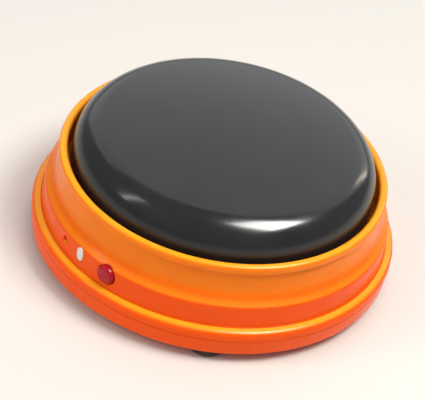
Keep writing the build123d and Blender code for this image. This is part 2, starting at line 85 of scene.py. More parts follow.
BASE_RADIUS = high("upper_housing").x
PARTING_Z = low("upper_housing").z
LIP_Z = high("upper_housing").z
WELL_Z = PARTING_Z + 9.6
TRAY_Z = low("base_tray").z
FLOOR_Z = TRAY_Z + 2.2
APEX_Z = high("button_dome").z
SKIRT_Z = low("button_dome").z
DOME_RADIUS = high("button_dome").x
CONTROL_Z = middle("record_button").z
MIC_Z = middle("microphone").z
SPEAKER = middle("speaker_magnet")
SPRINGS = {30.0: "return_spring_1", 150.0: "return_spring_2", 270.0: "return_spring_3"}
SPRING_CIRCLE = 18.0
SPRING_WIRE = 0.3
DECK_Z = low("return_spring_1").z
SPRING_TOP = high("return_spring_1").z
ARM_ANGLES = (90.0, 210.0, 330.0)
SCREW_ANGLES = (60.0, 120.0, 250.0, 290.0)
SCREW_CIRCLE = 36.8
SCREW_SEAT_Z = 4.8
CLAMP_ANGLES = (30.0, 150.0, 270.0)
CLAMP_CIRCLE = 17.0
BOARD_SCREWS = ((16.5, 11.5), (-16.5, 11.5), (-16.5, -11.5), (16.5, -11.5))
FEET = {"foot_front": -90.0, "foot_right": 0.0, "foot_back": 90.0, "foot_left": 180.0}
FOOT_CIRCLE = 38.8
LIGHT_ANGLE = -139.0
MIC_ANGLE = -147.5
BAY_HALF_X = 25.0
BAY_YS = (1.2, 23.2)
DOOR_LEDGE = 0.6
DOOR_THICK = 1.6
DOOR_SCREW = (middle("door_screw").x, middle("door_screw").y)
DOOR_SEAT_Z = 3.9
TONGUE_RADIUS = high("battery_door").x - DOOR_SCREW[0]


def joint(name):
    return next(entry for entry in frame["joints"] if entry["name"] == name)


def facing_out(axis):
    """The angle about Z, in degrees, of the direction that a push along an axis comes from."""
    return atan2(-axis[1], -axis[0]) * 180 / pi


BUTTON_ANGLE = facing_out(joint("record_press")["axis"])


# ---- What a user would change ----
def millimetres(name, description, default):
    return FloatProperty(
        name=name, description=description, default=default * MM, min=0, unit="LENGTH")


def paint(name, description, default):
    return FloatVectorProperty(
        name=name, description=description, default=default, subtype="COLOR", size=3, min=0,
        max=1)


class BuzzerSizes(bpy.types.PropertyGroup):
    sides: IntProperty(
        name="Sides", description="Sides of a turned piece", default=144, min=48, max=384)
    crown_radius: millimetres("Crown radius", "Radius of the dome's shallow top", 170)
    shoulder_radius: millimetres(
        "Shoulder radius", "Radius where the dome turns down to its skirt", 8)
    dome_wall: millimetres("Dome wall", "Thickness of the dome's shell", 2)
    band_radius: millimetres("Band radius", "Radius of the upright band with the controls", 42.1)
    neck_radius: millimetres("Neck radius", "Radius of the neck just below the lip", 39.05)
    lip_radius: millimetres("Lip radius", "Outer radius of the rounded lip", 39.9)
    mouth_radius: millimetres("Mouth radius", "Inner radius of the lip", 37.7)
    edge_break: millimetres("Edge break", "Bevel on moulded edges", 0.12)


class BuzzerColours(bpy.types.PropertyGroup):
    # Painted shade and light: one orange, redder on upright walls, yellower where it faces up.
    shell_painted_shade: paint("Shell", "Housing colour on upright walls", (0.92, 0.098, 0.004))
    shell_painted_light: paint("Shell, from above", "Housing colour where it faces up", (1.0, 0.40, 0.014))
    dome: paint("Dome", "Colour of the press dome", (0.016, 0.017, 0.018))
    button: paint("Button", "Colour of the record button", (0.44, 0.004, 0.014))
    window: paint("Window", "Colour of the light window", (0.90, 0.87, 0.80))
    floor: paint("Floor", "Colour of the floor", (0.74, 0.72, 0.68))


# ---- Materials ----
class Value:
    """A socket's output. Arithmetic on it adds Math nodes."""

    def __init__(self, finish, socket):
        self.finish = finish
        self.socket = socket

    def _math(self, operation, first, second):
        return self.finish.node("ShaderNodeMath", {"operation": operation}, {0: first, 1: second})

    def __add__(self, other):
        return self._math("ADD", self, other)

    def __radd__(self, other):
        return self._math("ADD", other, self)

    def __sub__(self, other):
        return self._math("SUBTRACT", self, other)

    def __rsub__(self, other):
        return self._math("SUBTRACT", other, self)

    def __mul__(self, other):
        return self._math("MULTIPLY", self, other)

    def __rmul__(self, other):
        return self._math("MULTIPLY", other, self)

    def __gt__(self, other):
        return self._math("GREATER_THAN", self, other)

    def __lt__(self, other):
        return self._math("LESS_THAN", self, other)


class Finish:
    """One material: its nodes and what feeds its shader."""

    def __init__(self, name, **constants):
        self.material = bpy.data.materials.new(name)
        self.material.use_nodes = True
        self.tree = self.material.node_tree
        self.shader = self.tree.nodes["Principled BSDF"]
        for socket, value in constants.items():
            label = socket.replace("_", " ").title().replace("Ior", "IOR")
            self.shader.inputs[label].default_value = value
        self.place = self.node("ShaderNodeTexCoord", {}, {}, "Object")

    def node(self, kind, settings, values, output=0):
        """Add a node: its settings are set first, then its sockets' values or links."""
        made = self.tree.nodes.new(kind)
        for key, setting in settings.items():
            setattr(made, key, setting)
        for key, value in values.items():
            if isinstance(value, Value):
                self.tree.links.new(value.socket, made.inputs[key])
            else:
                made.inputs[key].default_value = value
        return Value(self, made.outputs[output])

    def noise(self, scale, detail=3.0, roughness=0.55, vector=None):
        return self.node(
            "ShaderNodeTexNoise", {},
            {"Vector": vector or self.place, "Scale": scale, "Detail": detail,
             "Roughness": roughness})

    def between(self, value, start, end, low_out=0.0, high_out=1.0):
        """Stretch a value from one range to another, clamped."""
        return self.node(
            "ShaderNodeMapRange", {"clamp": True},
            {0: value, 1: start, 2: end, 3: low_out, 4: high_out})

    def mix(self, share, first, second):
        """Mix two colours."""
        colours = [c if isinstance(c, Value) else (*c, 1.0) for c in (first, second)]
        return self.node(
            "ShaderNodeMix", {"data_type": "RGBA"}, {0: share, 6: colours[0], 7: colours[1]}, 2)

    def axis(self, vector, letter):
        return self.node("ShaderNodeSeparateXYZ", {}, {0: vector}, letter)

    def feed(self, socket, value):
        self.tree.links.new(value.socket, self.shader.inputs[socket])

    def bump(self, height, distance, strength):
        relief = self.node(
            "ShaderNodeBump", {}, {"Height": height, "Distance": distance, "Strength": strength})
        self.feed("Normal", relief)


def handled(finish, base_roughness, spread):
    """Roughness of a surface that hands have touched: faint smears over a fine grain."""
    smear = finish.between(finish.noise(90.0, 4.0, 0.6), 0.35, 0.7)
    grain = finish.noise(2600.0, 2.0)
    finish.feed("Roughness", base_roughness + smear * spread + (grain - 0.5) * (0.4 * spread))
    return smear


def shell_finish():
    """Polished orange moulding with painted light: yellower on the neck and where it faces up."""
    colours = bpy.context.scene.buzzer_colours
    finish = Finish(
        "orange_moulding_painted_light", specular_ior_level=0.13, coat_weight=0.03, coat_roughness=0.06,
        subsurface_weight=0.25, subsurface_scale=1.1 * MM)
    finish.shader.inputs["Subsurface Radius"].default_value = (1.0, 0.30, 0.05)
    # Painted shade on walls, painted light where a corner faces up, set by how far it faces up.
    light_by_facing = finish.node("ShaderNodeAttribute", {"attribute_name": "painted_light_facing"}, {}, "Fac")
    height = finish.axis(finish.place, "Z")
    # Painted light on the neck: the colour turns yellower with height, from 14.8 to 18.4 mm.
    neck_foot, neck_top, neck_painted_light = 14.8 * MM, 18.4 * MM, 0.42
    raised = finish.between(height, neck_foot, neck_top, 0.0, neck_painted_light)
    ledge_painted_light = finish.between(light_by_facing, 0.58, 0.97) * (height > PARTING_Z * MM)
    painted_light_share = finish.between(ledge_painted_light + raised, 0.0, 1.0)
    lit_and_shaded_shell = finish.mix(painted_light_share, tuple(colours.shell_painted_shade), tuple(colours.shell_painted_light))
    mottle = finish.between(finish.noise(160.0, 5.0), 0.3, 0.75, 0.0, 0.10)
    shade = tuple(0.78 * c for c in colours.shell_painted_shade)
    finish.feed("Base Color", finish.mix(mottle, lit_and_shaded_shell, shade))
    handled(finish, 0.18, 0.08)
    finish.bump(finish.noise(1900.0, 3.0), 0.006 * MM, 0.5)
    return finish.material


def dome_finish():
    """Glossy black moulding with faint hand smears and hairline scuffs on the crown."""
    colours = bpy.context.scene.buzzer_colours
    finish = Finish(
        "black_moulding", specular_ior_level=0.34, coat_weight=0.08, coat_roughness=0.06)
    smear = handled(finish, 0.15, 0.10)
    streak = finish.node(
        "ShaderNodeMapping", {},
        {"Vector": finish.place, "Rotation": (0.0, 0.0, 0.5), "Scale": (90.0, 2400.0, 300.0)})
    scuff = finish.between(finish.noise(1.0, 3.0, 0.6, streak), 0.66, 0.78)
    dust = finish.between(finish.noise(3200.0, 2.0), 0.72, 0.80)
    wear = scuff * 0.25 + dust * 0.4 + smear * 0.1
    lifted = tuple(2.2 * c + 0.01 for c in colours.dome)
    finish.feed("Base Color", finish.mix(wear, tuple(colours.dome), lifted))
    finish.bump(finish.noise(1500.0, 3.0) + scuff * 0.6, 0.004 * MM, 0.5)
    return finish.material


def small_moulding(name, colour, roughness=0.25, coat=0.2, gloss=0.5):
    """A small moulded plastic piece: faint colour drift, fine grain."""
    finish = Finish(name, coat_weight=coat, coat_roughness=0.1, specular_ior_level=gloss)
    drift = finish.between(finish.noise(420.0, 4.0), 0.3, 0.7, 0.0, 0.35)
    finish.feed("Base Color", finish.mix(drift, colour, tuple(0.72 * c for c in colour)))
    finish.feed("Roughness", roughness + finish.noise(2400.0, 2.0) * 0.10)
    finish.bump(finish.noise(2200.0, 3.0), 0.006 * MM, 0.5)
    return finish.material


def window_finish():
    """Milky light window, slightly see-through."""
    colours = bpy.context.scene.buzzer_colours
    finish = Finish(
        "milky_window", transmission_weight=0.12, subsurface_weight=0.5,
        subsurface_scale=1.2 * MM)
    cloud = finish.between(finish.noise(900.0, 3.0), 0.3, 0.7, 0.0, 0.4)
    white = tuple(colours.window)
    finish.feed("Base Color", finish.mix(cloud, white, tuple(0.86 * c for c in white)))
    finish.feed("Roughness", 0.18 + finish.noise(2000.0) * 0.08)
    return finish.material


def rubber_finish(name, colour):
    """Soft moulded rubber: matt, with a fine leathery grain and dust."""
    finish = Finish(name)
    dust = finish.between(finish.noise(700.0, 5.0), 0.5, 0.8, 0.0, 0.5)
    finish.feed("Base Color", finish.mix(dust, colour, tuple(c + 0.05 for c in colour)))
    finish.feed("Roughness", 0.62 + finish.noise(1500.0, 3.0) * 0.2)
    finish.bump(finish.noise(2600.0, 4.0), 0.02 * MM, 0.7)
    return finish.material


def metal_finish(name, colour, roughness, grain_scale=(2400.0, 120.0, 120.0)):
    """Plated or pressed metal with drawn grain and a few dull patches."""
    finish = Finish(name, metallic=1.0)
    drawn = finish.node(
        "ShaderNodeMapping", {}, {"Vector": finish.place, "Scale": grain_scale})
    grain = finish.noise(1.0, 3.0, 0.6, drawn)
    patch = finish.between(finish.noise(500.0, 4.0), 0.45, 0.75)
    finish.feed("Base Color", finish.mix(patch * 0.5, colour, tuple(0.7 * c for c in colour)))
    finish.feed("Roughness", roughness + grain * 0.14 + patch * 0.08)
    finish.bump(grain, 0.006 * MM, 0.6)
    return finish.material


def board_finish():
    """Green solder mask over copper tracks, with tinned pads."""
    finish = Finish("solder_mask", coat_weight=0.3, coat_roughness=0.2)
    tracks = finish.node(
        "ShaderNodeTexBrick", {"offset": 0.37, "squash": 1.4, "squash_frequency": 3},
        {"Vector": finish.place, "Scale": 160.0, "Mortar Size": 0.06, "Mortar Smooth": 0.1,
         "Color1": (0, 0, 0, 1), "Color2": (0.2, 0.2, 0.2, 1), "Mortar": (1, 1, 1, 1)}, "Fac")
    pads = finish.node(
        "ShaderNodeTexVoronoi", {"feature": "F1"},
        {"Vector": finish.place, "Scale": 340.0, "Randomness": 0.65}, "Distance")
    pad = finish.between(pads, 0.16, 0.2, 1.0, 0.0)
    green = finish.mix(tracks, (0.012, 0.085, 0.03), (0.03, 0.17, 0.06))
    finish.feed("Base Color", finish.mix(pad, green, (0.72, 0.70, 0.64)))
    finish.feed("Metallic", pad)
    finish.feed("Roughness", 0.32 + finish.noise(800.0) * 0.15)
    finish.bump(tracks + pad, 0.03 * MM, 0.6)
    return finish.material


def cell_finish(name, heading):
    """A plain printed can: dark sleeve, a pale band, bare metal ends. It heads along X."""
    finish = Finish(name, coat_weight=0.4, coat_roughness=0.15)
    band_start, band_end, blur, sleeve_end = -6.0 * MM, 12.0 * MM, 0.5 * MM, 20.8 * MM
    along = finish.axis(finish.place, "X") * heading
    band = (finish.between(along, band_start, band_start + blur)
            * finish.between(along, band_end, band_end - blur))
    sleeve = finish.mix(band, (0.018, 0.045, 0.10), (0.62, 0.62, 0.58))
    ends = (along > sleeve_end) + (along < -sleeve_end)
    finish.feed("Base Color", finish.mix(ends, sleeve, (0.62, 0.62, 0.63)))
    finish.feed("Metallic", 0.35 + ends * 0.65)
    finish.feed("Roughness", 0.26 + finish.noise(1200.0) * 0.12)
    finish.bump(finish.noise(2000.0, 3.0), 0.006 * MM, 0.5)
    return finish.material


def foam_finish():
    """Closed-cell foam: small dark pores."""
    finish = Finish("closed_cell_foam")
    pores = finish.node(
        "ShaderNodeTexVoronoi", {"feature": "F1"},
        {"Vector": finish.place, "Scale": 1800.0, "Randomness": 1.0}, "Distance")
    open_pore = finish.between(pores, 0.15, 0.4)
    finish.feed("Base Color", finish.mix(open_pore, (0.012, 0.012, 0.013), (0.055, 0.055, 0.06)))
    finish.feed("Roughness", 0.95 - open_pore * 0.1)
    finish.bump(open_pore, 0.05 * MM, 0.8)
    return finish.material


def ferrite_finish():
    """Ground ferrite: dark, gritty, with a dull metallic glint."""
    finish = Finish("ground_ferrite")
    grit = finish.noise(2600.0, 4.0, 0.7)
    finish.feed("Base Color", finish.mix(grit, (0.012, 0.012, 0.013), (0.06, 0.06, 0.065)))
    finish.feed("Metallic", finish.between(grit, 0.4, 0.7, 0.2, 0.7))
    finish.feed("Roughness", 0.45 + grit * 0.25)
    finish.bump(grit, 0.02 * MM, 0.7)
    return finish.material


def finish_for(slot):
    """The material of a slot, made the first time it is asked for."""
    if slot not in MADE:
        MADE[slot] = FINISHES[slot]()
    return MADE[slot]


MADE = {}
FINISHES = {
    "orange_shell": shell_finish,
    "black_dome": dome_finish,
    "red_button": lambda: small_moulding(
        "red_moulding", tuple(bpy.context.scene.buzzer_colours.button), 0.16, 0.05, 0.25),
    "white_window": window_finish,
    "light_resin": lambda: small_moulding("red_resin", (0.45, 0.015, 0.01), 0.10, 0.6),
    "white_moulding": lambda: small_moulding("satin_acetal", (0.70, 0.70, 0.65), 0.38, 0.0),
    "rubber_feet": lambda: rubber_finish("foot_rubber", (0.055, 0.022, 0.016)),
    "rubber_black": lambda: rubber_finish("boot_rubber", (0.012, 0.012, 0.012)),
    "foam_grey": foam_finish,
    "screw_steel": lambda: metal_finish("zinc_plate", (0.60, 0.61, 0.64), 0.28),
    "spring_steel": lambda: metal_finish("nickel_plate", (0.66, 0.65, 0.62), 0.20),
    "speaker_steel": lambda: metal_finish(
        "pressed_steel", (0.45, 0.46, 0.48), 0.34, (900.0, 900.0, 900.0)),
    "ferrite": ferrite_finish,
    "speaker_film": lambda: small_moulding("polyester_film", (0.10, 0.10, 0.12), 0.35, 0.0),
    "capsule_aluminium": lambda: metal_finish(
        "drawn_aluminium", (0.74, 0.74, 0.76), 0.25, (1500.0, 1500.0, 300.0)),
    "circuit_board": board_finish,
    "switch_black": lambda: small_moulding("black_nylon", (0.014, 0.014, 0.015), 0.42, 0.0),
    "chip_resin": lambda: small_moulding("potting_resin", (0.010, 0.010, 0.010), 0.20, 0.2),
    "capacitor_sleeve": lambda: small_moulding("blue_sleeve", (0.012, 0.03, 0.16), 0.25, 0.3),
    "wire_sleeve": lambda: small_moulding("wire_insulation", (0.42, 0.018, 0.014), 0.34, 0.1),
    "cell_jacket": lambda: cell_finish("cell_sleeve", 1.0),
}


# ---- Modelling ----
def rounded(outline):
    """Points of an outline given as (radius, height, corner radius), its corners as arcs."""
    points = []
    for index, (r, z, corner) in enumerate(outline):
        here = Vector((r, z))
        if corner == 0:
            points.append(here)
            continue
        before = (Vector(outline[index - 1][:2]) - here).normalized()
        after = (Vector(outline[(index + 1) % len(outline)][:2]) - here).normalized()
        bend = pi - before.angle(after)
        start = here + before * corner * tan(bend / 2)
        centre = here + (before + after).normalized() * corner / cos(bend / 2)
        arm = start - centre
        turn = bend if before.x * after.y - before.y * after.x < 0 else -bend
        steps = max(2, ceil(bend / radians(11)))
        for step in range(steps + 1):
            points.append(centre + Matrix.Rotation(turn * step / steps, 2) @ arm)
    return points


def around(circle, angle):
    return circle * cos(radians(angle)), circle * sin(radians(angle))


def pick(*pieces):
    """Leave edit mode and select only these pieces, the first one active."""
    if bpy.context.object and bpy.context.object.mode != "OBJECT":
        bpy.ops.object.mode_set(mode="OBJECT")
    bpy.ops.object.select_all(action="DESELECT")
    for piece in pieces:
        piece.select_set(True)
    if pieces:
        bpy.context.view_layer.objects.active = pieces[0]


def settle(piece):
    """Put the piece's place into its mesh."""
    pick(piece)
    bpy.ops.object.transform_apply(location=True, rotation=True, scale=True)
    return piece


def drawn(name, points, closed=True):
    """Draw an outline in the XZ plane by extruding one corner from point to point."""
    pick()
    first = points[0] * MM
    bpy.ops.mesh.primitive_plane_add(size=MM, location=(first.x, 0, first.y))
    piece = settle(bpy.context.object)
    piece.name = piece.data.name = name
    bpy.ops.object.mode_set(mode="EDIT")
    bpy.ops.mesh.select_mode(type="VERT")
    bpy.ops.mesh.select_all(action="SELECT")
    bpy.ops.mesh.merge(type="CENTER")
    ends = points[1:] + points[:1] if closed else points[1:]
    for here, there in zip(points, ends):
        step = (there - here) * MM
        bpy.ops.mesh.extrude_region_move(TRANSFORM_OT_translate={"value": (step.x, 0, step.y)})
    tidy_surface()
    return piece


def tidy_surface():
    """In edit mode: merge doubles, point the faces outwards, and leave edit mode."""
    bpy.ops.mesh.select_all(action="SELECT")
    bpy.ops.mesh.remove_doubles(threshold=0.002 * MM)
    bpy.ops.mesh.normals_make_consistent(inside=False)
    bpy.ops.object.mode_set(mode="OBJECT")


def spun(name, outline, sides=0):
    """A turned piece: an outline of (radius, height, corner radius), spun about Z."""
    piece = drawn(name, rounded(outline) if len(outline[0]) == 3 else outline)
    bpy.ops.object.mode_set(mode="EDIT")
    bpy.ops.mesh.select_all(action="SELECT")
    bpy.ops.mesh.spin(
        steps=sides or bpy.context.scene.buzzer_sizes.sides, angle=2 * pi,
        center=(0, 0, 0), axis=(0, 0, 1))
    tidy_surface()
    return piece


def laid(piece, angle, height):
    """Lay a piece that was spun about Z along a direction from the axis, at a height."""
    piece.rotation_euler = (0, pi / 2, radians(angle))
    piece.location = (0, 0, height * MM)
    return settle(piece)


def wound(profile, rise, turns, steps=32):
    """Carry a profile up a helix about Z."""
    apply_modifier(
        profile, "SCREW", axis="Z", angle=2 * pi * turns, screw_offset=rise * MM,
        steps=int(steps * turns), render_steps=int(steps * turns), iterations=1)
    pick(profile)
    bpy.ops.object.mode_set(mode="EDIT")
    tidy_surface()
    return profile


def post(radius, bottom, top, x=0.0, y=0.0, sides=48):
    """An upright cylinder between two heights."""
    pick()
    bpy.ops.mesh.primitive_cylinder_add(
        vertices=sides, radius=radius * MM, depth=(top - bottom) * MM,
        location=(x * MM, y * MM, (bottom + top) / 2 * MM))
    return settle(bpy.context.object)


def block(xs, ys, zs, angle=0.0):
    """A box between pairs of coordinates, turned about the axis."""
    pick()
    bpy.ops.mesh.primitive_cube_add(size=MM)
    box = bpy.context.object
    box.scale = (xs[1] - xs[0], ys[1] - ys[0], zs[1] - zs[0])
    box.location = Vector((sum(xs), sum(ys), sum(zs))) * (MM / 2)
    settle(box)
    box.rotation_euler = (0, 0, radians(angle))
    return settle(box)


def pill(radius, height, start, end, angle, z):
    """An upright oblong rod along a direction: a cylinder whose halves are drawn apart."""
    pick()
    bpy.ops.mesh.primitive_cylinder_add(
        vertices=48, radius=radius * MM, depth=(end - start) * MM,
        location=((start + end) / 2 * MM, 0, 0), rotation=(0, pi / 2, 0))
    rod = settle(bpy.context.object)
    for sign in (1, -1):
        edit_corners(rod, lambda corner: corner.z * sign > 0.01 * MM)
        bpy.ops.transform.translate(value=(0, 0, sign * (height / 2 - radius) * MM))
        bpy.ops.object.mode_set(mode="OBJECT")
    rod.rotation_euler = (0, 0, radians(angle))
    rod.location = (0, 0, z * MM)
    return settle(rod)


def edit_corners(piece, wanted):
    """Enter edit mode with only the corners that pass a test selected."""
    pick(piece)
    bpy.ops.object.mode_set(mode="EDIT")
    bpy.ops.mesh.select_mode(type="VERT")
    bpy.ops.mesh.select_all(action="DESELECT")
    bpy.ops.object.mode_set(mode="OBJECT")
    for corner in piece.data.vertices:
        corner.select = bool(wanted(corner.co))
    bpy.ops.object.mode_set(mode="EDIT")


def edit_faces(piece, wanted):
    """Enter edit mode with only the faces that pass a test selected."""
    pick(piece)
    bpy.ops.object.mode_set(mode="EDIT")
    bpy.ops.mesh.select_mode(type="FACE")
    bpy.ops.mesh.select_all(action="DESELECT")
    bpy.ops.object.mode_set(mode="OBJECT")
    for face in piece.data.polygons:
        face.select = bool(wanted(face))
    bpy.ops.object.mode_set(mode="EDIT")


def joined(pieces):
    pieces = list(pieces)
    pick(*pieces)
    if len(pieces) > 1:
        bpy.ops.object.join()
    return pieces[0]


def copied(piece, x, y, angle=0.0):
    """A copy with its own mesh, turned about Z and moved."""
    pick(piece)
    bpy.ops.object.duplicate(linked=False)
    twin = bpy.context.object
    twin.rotation_euler = (0, 0, radians(angle))
    twin.location = (x * MM, y * MM, 0)
    return settle(twin)


def discard(piece):
    bpy.data.objects.remove(piece)


def repeated(piece, places):
    """Copies of one piece at several places, the first modelled piece left out."""
    copies = [copied(piece, x, y) for x, y in places]
    discard(piece)
    return copies


def apply_modifier(piece, kind, **settings):
    pick(piece)
    modifier = piece.modifiers.new(kind.lower(), kind)
    for key, setting in settings.items():
        setattr(modifier, key, setting)
    bpy.ops.object.modifier_apply(modifier=modifier.name)
    return piece


def carve(piece, tools, operation="DIFFERENCE"):
    """Cut tools out of a piece, or unite them with it."""
    tool = joined(tools)
    apply_modifier(piece, "BOOLEAN", object=tool, operation=operation, solver="EXACT")
    discard(tool)


def note_facing(piece):
    """Record how far each corner faces up, for the painted light of the housing's finish."""
    painted_light_facing = piece.data.attributes.new("painted_light_facing", "FLOAT", "POINT")
    for corner, spot in zip(piece.data.vertices, painted_light_facing.data):
        spot.value = corner.normal.z


def complete(piece, name, body, slot, nodes, bevel=0.0, smooth=32.0, material=None):
    """Break the edges, smooth the rest, paint the piece and hand it to its body."""
    piece.name = piece.data.name = name
    if bevel:
        apply_modifier(
            piece, "BEVEL", width=bevel * MM, segments=2, limit_method="ANGLE",
            angle_limit=radians(40), use_clamp_overlap=True)
    pick(piece)
    bpy.ops.object.shade_smooth_by_angle(angle=radians(smooth))
    apply_modifier(piece, "WEIGHTED_NORMAL", keep_sharp=True, weight=100)
    # Housing pieces keep how far each corner faces up, which the finish turns into painted light.
    if slot == "orange_shell":
        note_facing(piece)
    piece.data.materials.clear()
    piece.data.materials.append(material or finish_for(slot))
    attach(piece, body)
    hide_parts(*nodes)


# ---- Operators ----
class BUZZER_OT_stage(bpy.types.Operator):
    """Camera, floor and studio lights"""

    bl_idname = "buzzer.stage"
    bl_label = "Stage"

    def execute(self, context):
        self.camera(context)
        self.floor(context)
        self.lights(context)
        return {"FINISHED"}

    def camera(self, context):
        azimuth, elevation, roll = (radians(v) for v in (-6.2, 37.3, 11.6))
        distance, aside, below, aim_z = 0.54, -1.4 * MM, -1.6 * MM, 15 * MM
        data = bpy.data.cameras.new("camera")
        data.lens = 189
        data.clip_start = 0.02
        data.clip_end = 20
        camera = bpy.data.objects.new("camera", data)
        context.scene.collection.objects.link(camera)
        back = Vector((
            sin(azimuth) * cos(elevation), -cos(azimuth) * cos(elevation), sin(elevation)))
        axes = back.to_track_quat("Z", "Y").to_matrix() @ Matrix.Rotation(roll, 3, "Z")
        target = Vector((0, 0, aim_z)) + axes @ Vector((aside, below, 0))
        camera.location = target + back * distance
        camera.rotation_euler = axes.to_euler()
        context.scene.camera = camera

    def floor(self, context):
        pick()
        bpy.ops.mesh.primitive_plane_add(size=6)
        floor = bpy.context.object
        floor.name = "floor"
        finish = Finish("pale_floor", roughness=0.6)
        drift = finish.between(finish.noise(3.0, 4.0), 0.3, 0.7)
        tone = tuple(context.scene.buzzer_colours.floor)
        finish.feed("Base Color", finish.mix(drift, tone, tuple(0.985 * c for c in tone)))
        floor.data.materials.append(finish.material)

    def lights(self, context):
        panels = (
            # name, azimuth to the right of the front, elevation, distance, width, height,
            # power, colour, whether it lights surfaces, whether it shows in reflections
            ("key", 64, 62, 0.55, 0.26, 0.19, 2.0, (1.0, 0.95, 0.88), True, True),
            ("key_glint", 68, 66, 0.56, 0.22, 0.26, 5.8, (1.0, 0.98, 0.95), False, True),
            ("left", -74, 36, 0.60, 0.05, 0.30, 0.4, (1.0, 0.97, 0.95), True, True),
            ("left_fill", -64, 30, 0.70, 0.50, 0.40, 1.3, (1.0, 0.95, 0.88), True, False),
            ("back", 174, 36, 1.00, 1.90, 1.15, 6.6, (0.97, 0.98, 1.0), False, True),
            ("right_rim", 132, 20, 0.70, 0.04, 0.24, 0.26, (1.0, 0.90, 0.70), True, True),
            ("ceiling", 60, 80, 0.80, 0.80, 0.80, 2.6, (1.0, 0.99, 0.97), True, False),
        )
        aim = Vector((0, 0, 18 * MM))
        for panel in panels:
            name, azimuth, elevation, distance, width, height, power, colour, *seen = panel
            data = bpy.data.lights.new(name, "AREA")
            data.shape = "RECTANGLE"
            data.size = width
            data.size_y = height
            data.energy = power
            data.color = colour
            lamp = bpy.data.objects.new(name, data)
            lamp.visible_diffuse, lamp.visible_glossy = seen
            context.scene.collection.objects.link(lamp)
            a, e = radians(azimuth), radians(elevation)
            away = Vector((sin(a) * cos(e), -cos(a) * cos(e), sin(e)))
            lamp.location = aim + away * distance
            lamp.rotation_euler = away.to_track_quat("Z", "Y").to_euler()
        world = bpy.data.worlds.new("studio")
        world.use_nodes = True
        backdrop = world.node_tree.nodes["Background"]
        backdrop.inputs["Color"].default_value = (0.95, 0.97, 1.0, 1.0)
        backdrop.inputs["Strength"].default_value = 0.30
        context.scene.world = world
        context.scene.view_settings.view_transform = "Standard"


class BUZZER_OT_dome(bpy.types.Operator):
    """Press dome: shallow crown, broad shoulder, short skirt, bosses inside"""

    bl_idname = "buzzer.dome"
    bl_label = "Press dome"

    def execute(self, context):
        sizes = context.scene.buzzer_sizes
        wall = sizes.dome_wall / MM
        rim = rounded([
            (DOME_RADIUS, SKIRT_Z + 3, 0.0),
            (DOME_RADIUS, SKIRT_Z, 0.35),
            (DOME_RADIUS - wall, SKIRT_Z, 0.35),
            (DOME_RADIUS - wall, SKIRT_Z + 3, 0.0),
        ])
        outline = self.section(sizes, 0.0) + rim + self.section(sizes, wall)[::-1]
        shell = spun("shell", outline)
        under = APEX_Z - wall
        boss = spun("boss", [
            (0.0, 31.6, 0.0), (1.1, 31.6, 0.0), (1.1, 28.6, 0.0), (3.0, 28.6, 0.25),
            (3.0, under - 0.4, 0.0), (0.0, under - 0.4, 0.0)], 48)
        seat = spun("seat", [
            (0.0, SPRING_TOP - 1.5, 0.0), (2.3, SPRING_TOP - 1.5, 0.4),
            (2.3, SPRING_TOP, 0.0), (3.8, SPRING_TOP, 0.3),
            (3.8, under - 0.4, 0.0), (0.0, under - 0.4, 0.0)], 48)
        bosses = repeated(boss, [around(SPRING_CIRCLE, angle) for angle in ARM_ANGLES])
        seats = repeated(seat, [around(SPRING_CIRCLE, angle) for angle in SPRINGS])
        dome = joined([shell, *bosses, *seats])
        complete(dome, "dome", "dome", "black_dome", ["button_dome"])
        return {"FINISHED"}

    def section(self, sizes, inset):
        """The dome's section from the apex to the top of the skirt."""
        crown = sizes.crown_radius / MM
        shoulder = sizes.shoulder_radius / MM
        centre_z = APEX_Z - crown
        shoulder_r = DOME_RADIUS - shoulder
        shoulder_z = centre_z + sqrt((crown - shoulder) ** 2 - shoulder_r ** 2)
        lean = atan2(shoulder_r, shoulder_z - centre_z)
        points = []
        for step in range(13):
            angle = lean * step / 12
            reach = crown - inset
            points.append(Vector((reach * sin(angle), centre_z + reach * cos(angle))))
        for step in range(1, 17):
            angle = lean + (pi / 2 - lean) * step / 16
            reach = shoulder - inset
            points.append(Vector(
                (shoulder_r + reach * sin(angle), shoulder_z + reach * cos(angle))))
        return points


